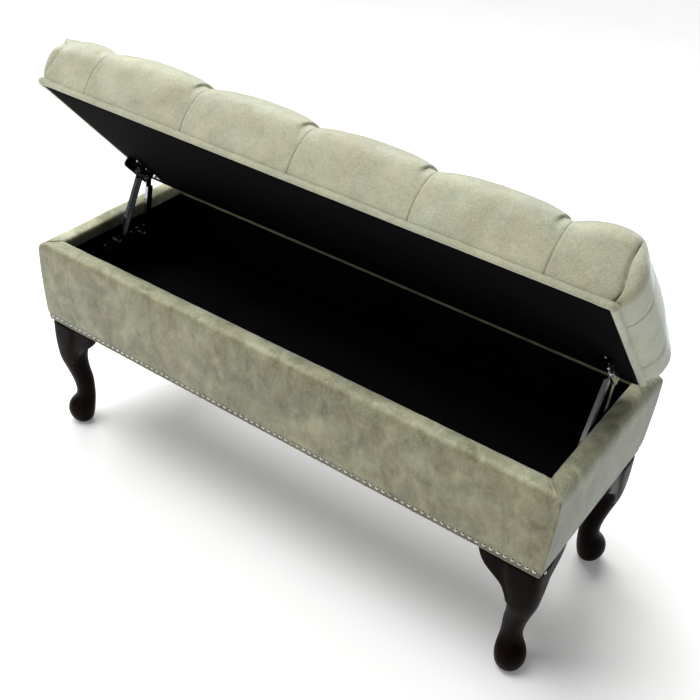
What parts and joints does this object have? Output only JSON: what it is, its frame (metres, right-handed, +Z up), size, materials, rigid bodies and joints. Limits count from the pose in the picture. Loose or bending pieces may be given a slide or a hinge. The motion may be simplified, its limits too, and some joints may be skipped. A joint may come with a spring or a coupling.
{
  "type": "storage bench",
  "caption": "Velvet storage bench on cabriole legs; its deep-buttoned lid lifts on four-bar ottoman hinges over a lined box.",
  "frame": {"origin": "on the floor, under the centre of the upholstered box", "axes": "+X along the box to the user's right when facing its front, +Y to the back, +Z up"},
  "size_m": [1.0976, 0.3768, 0.786],
  "materials": {
    "velvet": "matte",
    "velvet_lid": "matte",
    "black_lining": "matte",
    "timber": "matte",
    "mahogany": "satin",
    "zinc": "satin",
    "nickel": "gloss",
    "foam": "matte",
    "twine": "matte"
  },
  "bodies": {
    "base": {"front_board": "timber", "rear_board": "timber", "left_board": "timber", "right_board": "timber", "corner_blocks": "timber", "corner_screws": "zinc", "floor_battens": "timber", "base_board": "timber", "floor_lining": "black_lining", "wall_lining": "black_lining", "dust_cover": "black_lining", "front_cover": "velvet", "rear_cover": "velvet", "left_cover": "velvet", "right_cover": "velvet", "front_nails": "nickel", "front_left_leg": "mahogany", "front_right_leg": "mahogany", "rear_left_leg": "mahogany", "rear_right_leg": "mahogany", "leg_bolts": "zinc", "leg_tee_nuts": "zinc", "left_hinge_plate": "zinc", "right_hinge_plate": "zinc", "left_lower_rivets": "zinc", "right_lower_rivets": "zinc", "hinge_plate_screws": "zinc"},
    "lid": {"left_lid_bracket": "zinc", "right_lid_bracket": "zinc", "lid_bracket_screws": "zinc", "upper_rear_rivets": "zinc", "lid_board": "timber", "lid_lining": "black_lining", "foam_pad": "foam", "cushion_cover": "velvet_lid", "cushion_buttons": "velvet_lid", "button_ties": "twine", "lid_piping": "velvet_lid"},
    "left_rear_arm": {"left_rear_arm": "zinc"},
    "left_front_arm": {"left_front_arm": "zinc", "left_front_rivet": "zinc"},
    "right_rear_arm": {"right_rear_arm": "zinc"},
    "right_front_arm": {"right_front_arm": "zinc", "right_front_rivet": "zinc"}
  },
  "joints": [
    {"name": "lid_lift", "type": "hinge", "parent": "base", "child": "left_rear_arm", "pos_m": [-0.4954, 0.041, 0.357], "axis": [-1, 0, 0], "range_deg": [0, 50.6]},
    {"name": "lid_turn", "type": "hinge", "parent": "left_rear_arm", "child": "lid", "pos_m": [-0.4954, 0.06138, 0.47161], "axis": [1, 0, 0], "range_deg": [0, 98.4]},
    {"name": "left_front_arm_swing", "type": "hinge", "parent": "base", "child": "left_front_arm", "pos_m": [-0.4954, -0.026, 0.368], "axis": [-1, 0, 0], "range_deg": [0, 43.78]},
    {"name": "right_front_arm_swing", "type": "hinge", "parent": "base", "child": "right_front_arm", "pos_m": [0.4954, -0.026, 0.368], "axis": [-1, 0, 0], "range_deg": [0, 43.78]},
    {"name": "right_rear_arm_swing", "type": "hinge", "parent": "base", "child": "right_rear_arm", "pos_m": [0.4954, 0.041, 0.357], "axis": [-1, 0, 0], "range_deg": [0, 50.6]}
  ],
  "couplings": [
    {"joint": "lid_turn", "follows": "lid_lift", "ratio": 1.9447},
    {"joint": "left_front_arm_swing", "follows": "lid_lift", "ratio": 0.86495},
    {"joint": "right_front_arm_swing", "follows": "lid_lift", "ratio": 0.86495},
    {"joint": "right_rear_arm_swing", "follows": "lid_lift", "ratio": 1}
  ]
}
